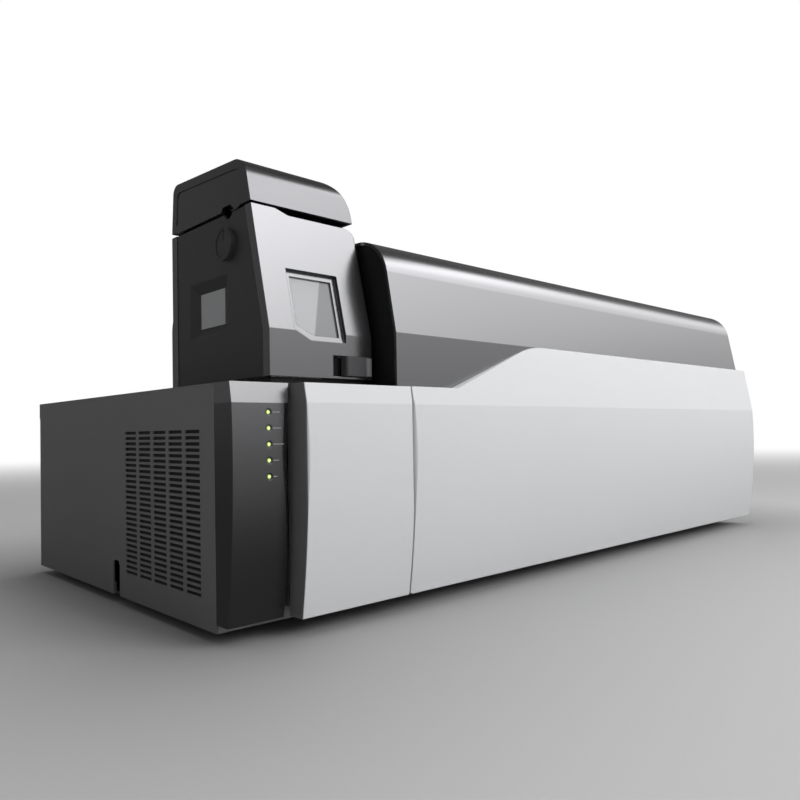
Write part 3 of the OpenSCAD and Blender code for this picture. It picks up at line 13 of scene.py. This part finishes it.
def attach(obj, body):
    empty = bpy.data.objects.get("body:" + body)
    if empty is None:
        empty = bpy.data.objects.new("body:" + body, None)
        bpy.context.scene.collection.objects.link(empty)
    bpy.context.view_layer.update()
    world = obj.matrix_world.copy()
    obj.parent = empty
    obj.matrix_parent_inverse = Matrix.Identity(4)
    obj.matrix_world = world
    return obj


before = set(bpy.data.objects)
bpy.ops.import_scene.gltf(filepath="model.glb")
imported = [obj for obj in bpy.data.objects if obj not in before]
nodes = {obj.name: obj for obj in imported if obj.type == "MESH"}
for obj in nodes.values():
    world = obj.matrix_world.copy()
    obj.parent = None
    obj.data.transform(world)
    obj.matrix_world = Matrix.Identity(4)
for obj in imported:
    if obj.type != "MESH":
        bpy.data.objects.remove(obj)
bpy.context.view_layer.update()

# ---------------------------------------------------------------- camera
# A 32 mm lens stands low, ahead of the vent end, and looks along the instrument.
# Places on the instrument are given from `corner`, the lower front corner of the vent end.
corner = Vector((-0.450, -0.1938, 0.008))
stand = Vector((-0.25711, -0.47407, 0.14585))
yaw, pitch, roll = (math.radians(a) for a in (43.134, 1.233, -1.016))
frame_px, focal_px, shift_px = 800, 711.12, 15.87
ahead = Vector((math.sin(yaw) * math.cos(pitch), math.cos(yaw) * math.cos(pitch), math.sin(pitch)))
level = Vector((math.cos(yaw), -math.sin(yaw), 0.0))
above = level.cross(ahead)
right = math.cos(roll) * level + math.sin(roll) * above
up = -math.sin(roll) * level + math.cos(roll) * above
lens = bpy.data.cameras.new("camera")
lens.sensor_width = 36.0
lens.lens = focal_px / frame_px * lens.sensor_width
lens.shift_y = shift_px / frame_px
camera = bpy.data.objects.new("camera", lens)
aim = Matrix((right, up, -ahead)).transposed().to_4x4()
camera.matrix_world = Matrix.Translation(corner + stand) @ aim
bpy.context.scene.collection.objects.link(camera)
bpy.context.scene.camera = camera
bpy.context.scene.view_settings.view_transform = "Standard"


# ---------------------------------------------------------------- studio
# Pale sweep of floor, a bright wall of light ahead of the instrument and a dim room behind it,
# so that the leaning faces pick up light and the end stays dark.
class S:
    """A socket of a node tree. Arithmetic on it adds Math nodes: (a + b) is their sum, (1 - a)
    is one minus a, and so on; node() adds any other node with its settings set first."""

    def __init__(self, tree, socket=None):
        self.tree, self.socket = tree, socket

    def node(self, kind, settings=None, out=0, **inputs):
        made = self.tree.nodes.new(kind)
        for key, value in (settings or {}).items():
            if key == "stops":
                ramp = made.color_ramp
                while len(ramp.elements) < len(value):
                    ramp.elements.new(0.5)
                for stop, (place, grey) in zip(ramp.elements, value):
                    stop.position = place
                    stop.color = (grey, grey, grey, 1)
            else:
                setattr(made, key, value)
        for key, value in inputs.items():
            key = int(key[1:]) if key[0] == "i" and key[1:].isdigit() else key.replace("_", " ")
            if isinstance(value, S):
                self.tree.links.new(value.socket, made.inputs[key])
            else:
                made.inputs[key].default_value = value
        return S(self.tree, made.outputs[out]) if made.outputs else None

    def maths(self, operation, *values):
        return self.node("ShaderNodeMath", {"operation": operation},
                         **{"i%d" % i: v for i, v in enumerate(values)})

    def __add__(self, other): return self.maths("ADD", self, other)
    def __radd__(self, other): return self.maths("ADD", other, self)
    def __sub__(self, other): return self.maths("SUBTRACT", self, other)
    def __rsub__(self, other): return self.maths("SUBTRACT", other, self)
    def __mul__(self, other): return self.maths("MULTIPLY", self, other)
    def __rmul__(self, other): return self.maths("MULTIPLY", other, self)
    def abs(self): return self.maths("ABSOLUTE", self)

    def step(self, low, high):
        """0 below low, 1 above high and an S-curve between them."""
        return self.node("ShaderNodeMapRange", {"interpolation_type": "SMOOTHSTEP"}, i0=self, i1=low, i2=high)

    def split(self):
        """The x, y and z of a vector."""
        parts = self.node("ShaderNodeSeparateXYZ", Vector=self).socket.node.outputs
        return [S(self.tree, part) for part in parts]

    def point(self):
        """The point of the surface, in the part's own frame."""
        return self.node("ShaderNodeTexCoord", out=3)

    def ray(self, name):
        """1 for the rays that Light Path calls `name`, and 0 for the others."""
        return S(self.tree, self.node("ShaderNodeLightPath").socket.node.outputs[name])


def empty_tree(owner):
    """Turns on the nodes of a material or world and clears them."""
    owner.use_nodes = True
    owner.node_tree.nodes.clear()
    return S(owner.node_tree)


world = bpy.data.worlds.new("studio")
bpy.context.scene.world = world
sky = empty_tree(world)
across, forward, height = sky.node("ShaderNodeTexCoord", out=0).split()
# What metal and gloss mirror is the wall of light, whose brightness climbs with the sine of the
# elevation to a lit band and then stops, and the dim room beside and behind it.
wall_level = 5.2
wall = (0.0 - forward).step(-0.02, 0.12) * across.step(-0.35, 0.1)
rise = sky.node("ShaderNodeValToRGB", {"stops": [
    (0.0, 0.098), (0.10, 0.128), (0.16, 0.150), (0.24, 0.218), (0.31, 0.353), (0.38, 0.45),
    (0.45, 0.51), (0.56, 0.69), (0.66, 1.0), (0.70, 1.0), (0.77, 0.045), (1.0, 0.02)]}, Fac=height)
room = 0.11 - 0.06 * height.step(0.3, 0.8) + 0.07 * (0.0 - across).step(0.1, 0.4)
room_glow = (1.0 - wall) * height.step(0.1, 0.6) * across.step(-0.5, 0.2) * 0.07
mirrored = sky.node("ShaderNodeBackground", Color=(1, 1, 1, 1),
                    Strength=room + wall * rise * wall_level + room_glow)
# What lights matt faces is weaker from the vent end's side. The camera sees plain white.
lit = sky.node("ShaderNodeBackground", Color=(1, 1, 1, 1),
               Strength=0.44 - 0.37 * (0.0 - across).step(-0.1, 0.7))
white = sky.node("ShaderNodeBackground", Color=(1, 1, 1, 1), Strength=1.0)
sky_mix = sky.node("ShaderNodeMixShader", i0=sky.ray("Is Glossy Ray"), i1=lit, i2=mirrored)
sky_mix = sky.node("ShaderNodeMixShader", i0=sky.ray("Is Camera Ray") + sky.ray("Is Transmission Ray"),
                   i1=sky_mix, i2=white)
sky.node("ShaderNodeOutputWorld", Surface=sky_mix)

# The floor: grey paper with a painted shadow, darker close to the instrument, that fades to white far from
# the camera.
floor_mesh = bpy.data.meshes.new("floor")
reach = 14.0
floor_mesh.from_pydata([(-reach, -reach, 0), (reach, -reach, 0), (reach, reach, 0), (-reach, reach, 0)],
                       [], [(0, 1, 2, 3)])
floor = bpy.data.objects.new("floor", floor_mesh)
bpy.context.scene.collection.objects.link(floor)
paper = bpy.data.materials.new("paper")
p = empty_tree(paper)
floor_x, floor_y, floor_z = p.point().split()
half_length, half_depth = 0.45, 0.21
off_x = p.maths("MAXIMUM", floor_x.abs() - half_length, 0.0)
off_y = p.maths("MAXIMUM", floor_y.abs() - half_depth, 0.0)
# Painted shadow: the paper's colour runs from 0.36 at the instrument's footprint to 0.56 some 0.4 m away.
clear = p.maths("SQRT", off_x * off_x + off_y * off_y).step(0.0, 0.4)
paper_and_painted_shadow = p.node("ShaderNodeMix", {"data_type": "RGBA"}, out=2, Factor=clear,
                    i6=(0.36, 0.36, 0.36, 1), i7=(0.56, 0.56, 0.56, 1))
matt = p.node("ShaderNodeBsdfPrincipled", Base_Color=paper_and_painted_shadow, Roughness=0.7)
fade = p.node("ShaderNodeEmission", Color=(1, 1, 1, 1), Strength=1.0)
from_camera = p.node("ShaderNodeVectorMath", {"operation": "DISTANCE"}, out=1, i0=p.point(),
                     i1=(camera.location.x, camera.location.y, 0.0))
shade = p.node("ShaderNodeEmission", Color=(1, 1, 1, 1),
               Strength=0.07 + 0.30 * (-0.24 - floor_y).step(0.05, 0.9))
paper_mix = p.node("ShaderNodeMixShader", i0=from_camera.step(1.6, 5.5), i1=matt, i2=fade)
paper_mix = p.node("ShaderNodeMixShader", i0=p.ray("Is Glossy Ray"), i1=paper_mix, i2=shade)
p.node("ShaderNodeOutputMaterial", Surface=paper_mix)
floor_mesh.materials.append(paper)

# Three soft boxes: the key ahead of the front, one overhead and a weak one at the vent end.
for name, where, towards, size, watts in (
        ("key_lamp", (0.6, -2.2, 1.5), (0.0, 0.0, 0.15), (1.6, 1.2), 31),
        ("top_lamp", (0.2, -0.1, 2.2), (0.1, 0.0, 0.1), (1.8, 1.4), 22),
        ("fill_lamp", (-2.2, -0.4, 1.2), (-0.2, 0.0, 0.15), (1.2, 1.0), 1.5)):
    lamp = bpy.data.lights.new(name, "AREA")
    lamp.shape, lamp.size, lamp.size_y, lamp.energy = "RECTANGLE", size[0], size[1], watts
    softbox = bpy.data.objects.new(name, lamp)
    softbox.location = where
    softbox.rotation_euler = (Vector(towards) - Vector(where)).to_track_quat("-Z", "Y").to_euler()
    softbox.visible_glossy = False
    bpy.context.scene.collection.objects.link(softbox)


# ---------------------------------------------------------------- sheet metal chassis
# Folded steel panels with a fine textured charcoal powder coat, screwed to the floor pan. The
# inner walls, bulkheads and service bay are plain zinc plated sheet, and the feet are rubber.
def finish(name, base, rough, metallic=0.0, grain=0.02, speck=(900.0, 0.04), cloud=0.05, edge=0.0007):
    """A worked finish. The base colour runs from base * (1 - cloud) to base * (1 + cloud) with a
    wide noise, and the roughness by plus or minus `grain` with it. A fine noise of `speck` scale
    and strength makes the bump, over normals rounded at sharp edges by `edge` metres."""
    made = bpy.data.materials.new(name)
    t = empty_tree(made)
    clouds = t.node("ShaderNodeTexNoise", Vector=t.point(), Scale=7.0, Detail=4.0, Roughness=0.6)
    fine = t.node("ShaderNodeTexNoise", Vector=t.point(), Scale=speck[0], Detail=2.0)
    dark = [c * (1 - cloud) for c in base]
    light = [min(c * (1 + cloud), 1.0) for c in base]
    tint = t.node("ShaderNodeMix", {"data_type": "RGBA"}, out=2, Factor=clouds, i6=(*dark, 1), i7=(*light, 1))
    bump = t.node("ShaderNodeBump", Strength=speck[1], Distance=0.0004, Height=fine)
    if edge:
        rounded = t.node("ShaderNodeBevel", {"samples": 4}, Radius=edge)
        t.tree.links.new(rounded.socket, bump.socket.node.inputs["Normal"])
    shader = t.node("ShaderNodeBsdfPrincipled", Base_Color=tint, Metallic=metallic, IOR=1.45,
                    Roughness=rough + grain * (clouds - 0.5) * 2, Normal=bump)
    t.node("ShaderNodeOutputMaterial", Surface=shader)
    return made


def dress(names, material):
    """Gives CAD nodes one finish."""
    for name in names:
        node = nodes[name]
        node.data.materials.clear()
        node.data.materials.append(material)


charcoal = finish("charcoal powder coat", (0.20, 0.20, 0.205), 0.5, speck=(2600.0, 0.35))
dress(["vent_end_panel", "right_end_panel", "rear_panel", "top_deck", "base_pan"], charcoal)
zinc = finish("zinc plated sheet", (0.50, 0.51, 0.52), 0.38, 0.9, grain=0.08, speck=(120.0, 0.05))
dress(["front_wall", "bulkheads", "service_bay"], zinc)
foot_rubber = finish("moulded rubber", (0.014, 0.014, 0.015), 0.75, speck=(1400.0, 0.2))
dress(["feet"], foot_rubber)


# ---------------------------------------------------------------- white front covers
# Satin white moulded covers: the long bowed panel, and the service door on its two zinc plated arms. The
# door's left edge, beside the fascia, is painted dark grey as painted shade between the door and the fascia.
def second_tone(material, mask, colour):
    """Where mask is 1 the base colour turns to `colour`, and where it is 0 it stays."""
    tree = material.node_tree
    shader = next(n for n in tree.nodes if n.type == "BSDF_PRINCIPLED")
    first = S(tree, shader.inputs["Base Color"].links[0].from_socket)
    both = first.node("ShaderNodeMix", {"data_type": "RGBA"}, out=2, Factor=mask, i6=first, i7=(*colour, 1))
    tree.links.new(both.socket, shader.inputs["Base Color"])


def satin_white(name):
    """The white of the front covers, as a new material."""
    return finish(name, (0.76, 0.765, 0.775), 0.34, speck=(1800.0, 0.06), cloud=0.012)


dress(["front_panel"], satin_white("satin white"))
door_white_with_painted_shade = satin_white("satin white, grey edge")
door_edge = corner.x + 0.0534
door_x = S(door_white_with_painted_shade.node_tree).point().split()[0]
# Painted shade: left of door_edge the door's white turns to dark grey.
second_tone(door_white_with_painted_shade, 1 - door_x.step(door_edge, door_edge + 0.0005), (0.21, 0.21, 0.215))
dress(["front_door"], door_white_with_painted_shade)
dress(["door_hinge_arms"], zinc)

# ---------------------------------------------------------------- dark hood
# Long satin-gloss cover in a dark metallic grey, with plain black end caps. It sits on the deck
# behind the white panel's raised part.
hood_grey = (0.20, 0.20, 0.207)
hood_paint = finish("dark metallic grey", hood_grey, 0.22, 0.9, speck=(3000.0, 0.05), cloud=0.02)
dress(["hood_shell"], hood_paint)
black_matt = finish("black matt moulding", (0.012, 0.012, 0.013), 0.5, speck=(1500.0, 0.15))
dress(["hood_left_cap", "hood_right_cap"], black_matt)

# ---------------------------------------------------------------- status fascia
# Dark moulding beside the door whose leaning top is painted lighter, a painted highlight for the lit wall it
# mirrors, and five green lights in small round wells, fed by light pipes from a lacquered board behind them.
fascia_with_painted_highlight = finish("dark satin fascia", (0.142, 0.142, 0.147), 0.26, 0.9,
                      speck=(2400.0, 0.08), cloud=0.02)
crease = corner.z + 0.1683
fascia_z = S(fascia_with_painted_highlight.node_tree).point().split()[2]
# Painted highlight: above the crease the fascia's base colour turns lighter.
second_tone(fascia_with_painted_highlight, fascia_z.step(crease, crease + 0.0005), (0.25, 0.25, 0.256))
dress(["led_fascia"], fascia_with_painted_highlight)

# Lit lens: a pale core and a green rim, drawn round the middle of each light. The lights stand
# led_pitch apart, the top one led_top above the corner.
led_x, led_top, led_pitch = 0.0305, 0.1617, 0.0119
lens_glow = bpy.data.materials.new("lit status lens")
g = empty_tree(lens_glow)
lens_x, lens_y, lens_z = g.point().split()
from_led_x = lens_x - (corner.x + led_x)
from_led_z = g.maths("FLOORED_MODULO", lens_z - (corner.z + led_top - led_pitch * 4.5), led_pitch)
from_led_z = from_led_z - led_pitch / 2
core = 1 - g.maths("SQRT", from_led_x * from_led_x + from_led_z * from_led_z).step(0.0006, 0.0017)
hue = g.node("ShaderNodeMix", {"data_type": "RGBA"}, out=2, Factor=core,
             i6=(0.16, 0.22, 0.03, 1), i7=(0.78, 1.0, 0.36, 1))
glass = g.node("ShaderNodeBsdfPrincipled", Base_Color=hue, Roughness=0.25,
               Emission_Color=hue, Emission_Strength=0.85)
g.node("ShaderNodeOutputMaterial", Surface=glass)
dress(["led_lenses"], lens_glow)
laminate = finish("lacquered board", (0.03, 0.14, 0.06), 0.35, speck=(600.0, 0.1))
dress(["led_board"], laminate)


def surface(name, x, y, z, material):
    """A mesh from three equal 2-D arrays of point coordinates: rows run along the first parameter,
    columns go round the second, and the last column joins the first."""
    rows, cols = x.shape
    here = np.arange(rows * cols).reshape(rows, cols)
    beside = np.roll(here, -1, 1)
    quads = np.stack([here[:-1], beside[:-1], beside[1:], here[1:]], -1).reshape(-1, 4)
    mesh = bpy.data.meshes.new(name)
    mesh.from_pydata(np.stack([x, y, z], -1).reshape(-1, 3).tolist(), [], quads.tolist())
    mesh.materials.append(material)
    mesh.update()
    made = bpy.data.objects.new(name, mesh)
    bpy.context.scene.collection.objects.link(made)
    return made


# Five short printed lines beside the lights. Each is a flat pill: two half rounds of radius
# dash_r joined by straight sides, 0.12 mm thick, laid on the fascia's bow, which is
# y = -0.026 + (z - 0.130)^2 / 1.556 from the corner.
dash_ink = finish("light grey ink", (0.42, 0.42, 0.43), 0.6, speck=(800.0, 0.0))
dash_start, dash_r = 0.0335, 0.0003
around = np.linspace(0, 2 * np.pi, 25)[:-1]
size, thick = np.array([[1.0, 0.0], [1.0, 0.00010], [0.7, 0.00012], [0.0, 0.00012]]).T[:, :, None]
for n, dash_end in enumerate((0.0403, 0.0412, 0.0431, 0.0389, 0.0374)):
    straight = (dash_end - dash_start) / 2 - dash_r
    dash_x = dash_start + dash_r + straight + np.sign(np.cos(around)) * straight * (size > 0)
    dash_x = dash_x + size * dash_r * np.cos(around)
    dash_z = led_top - led_pitch * n + size * dash_r * np.sin(around)
    dash_y = -0.026 + (dash_z - 0.130) ** 2 / 1.556 - thick
    dash = surface("status_dash_%d" % (n + 1), corner.x + dash_x, corner.y + dash_y,
                   corner.z + dash_z, dash_ink)
    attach(dash, "chassis")

# ---------------------------------------------------------------- ion source housing
# Moulded shell in the hood's grey under a slightly darker lid, a flat dark side cover, and
# smoked panes. It hangs on a pin at its rear right corner, over a black plinth.
shell_paint = finish("source housing grey", hood_grey, 0.22, 0.9, speck=(3000.0, 0.05), cloud=0.02)
dress(["source_shell"], shell_paint)
lid_paint = finish("source lid grey", (0.134, 0.134, 0.139), 0.22, 0.9, speck=(3000.0, 0.05), cloud=0.02)
dress(["source_lid"], lid_paint)
cover_paint = finish("side cover black", (0.056, 0.056, 0.059), 0.42, speck=(2600.0, 0.2))
dress(["source_side_cover", "side_dial", "lock_lever"], cover_paint)
dress(["source_plinth"], black_matt)

# Smoked panes: the right part of the front one is dark, up to a line that leans to the right.
pane = finish("smoked pane", (0.46, 0.465, 0.475), 0.12, speck=(300.0, 0.0), cloud=0.0, edge=0.0)
pane_x, pane_y, pane_z = S(pane.node_tree).point().split()
lean, line_x, line_z = 0.287, 0.1012, 0.2535
from_line = pane_x - corner.x - lean * (pane_z - corner.z - line_z)
on_front = 1 - (pane_y - corner.y).step(0.030, 0.050)
second_tone(pane, from_line.step(line_x, line_x + 0.0024) * on_front, (0.23, 0.233, 0.24))
dress(["side_window_pane", "front_window_pane"], pane)

# Grey cap over the round boss of the lock lever: a profile of radius cap_r at height cap_z,
# turned about the lever's pin.
cap_grey = finish("grey lever cap", (0.17, 0.17, 0.175), 0.4, speck=(1500.0, 0.1))
pin_x, pin_y, lever_foot = 0.1456, -0.0024, 0.1933
bearing = np.linspace(0, 2 * np.pi, 49)[:-1]
cap_r = np.array([4.62, 4.78, 4.78, 4.55, 4.0, 0.0])[:, None] / 1000
cap_z = np.array([0.3, 0.5, 15.4, 15.9, 16.3, 16.55])[:, None] / 1000
boss = surface("lever_boss_cap", corner.x + pin_x + cap_r * np.cos(bearing),
               corner.y + pin_y + cap_r * np.sin(bearing),
               corner.z + lever_foot + cap_z + 0 * bearing, cap_grey)
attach(boss, "lever")

# ---------------------------------------------------------------- inside the source
# Machined aluminium floor plate, spray chamber, probe carriage and interface flange, turned
# steel pins, valve and probe, and a gold plated desolvation line.
machined = finish("machined aluminium", (0.62, 0.63, 0.64), 0.3, 0.95, grain=0.06, speck=(500.0, 0.08))
dress(["source_floor", "spray_chamber", "probe_carriage", "interface_flange"], machined)
steel = finish("turned steel", (0.66, 0.67, 0.68), 0.2, 1.0, grain=0.05, speck=(900.0, 0.04))
dress(["switching_valve", "source_hinge_pin", "lid_hinge_rod", "lever_pin", "esi_probe"], steel)
gold = finish("gold plated rod", (0.75, 0.60, 0.36), 0.22, 1.0, speck=(700.0, 0.04))
dress(["desolvation_line"], gold)

# ---------------------------------------------------------------- vacuum system and electronics
# Milled aluminium manifold with its cover and the two turbo pumps, steel rotors with cut blades,
# gold plated rods in the ion guide and mass filters, and plated boxes for the electronics.
dress(["vacuum_manifold", "manifold_cover", "front_turbo_pump", "rear_turbo_pump"], machined)
dress(["front_turbo_rotor", "rear_turbo_rotor"], steel)
dress(["ion_guide", "first_quadrupole", "second_quadrupole"], gold)
dress(["collision_cell", "ion_detector", "rf_generator", "power_supply"], zinc)
dress(["control_board"], laminate)

# ---------------------------------------------------------------- air path and rear fittings
# Foam filter behind the slots, black moulded fans, mains inlet and rocker, plated data sockets,
# turned steel vacuum ports and brass gas fittings, all fixed from behind their panels.
dress(["air_filter", "intake_fan_frame", "intake_fan_rotor", "exhaust_fan_frame", "exhaust_fan_rotor",
       "mains_inlet", "power_switch"], black_matt)
dress(["data_ports"], zinc)
dress(["vacuum_ports"], steel)
brass = finish("turned brass", (0.62, 0.47, 0.20), 0.25, 1.0, speck=(900.0, 0.05))
dress(["gas_fittings"], brass)
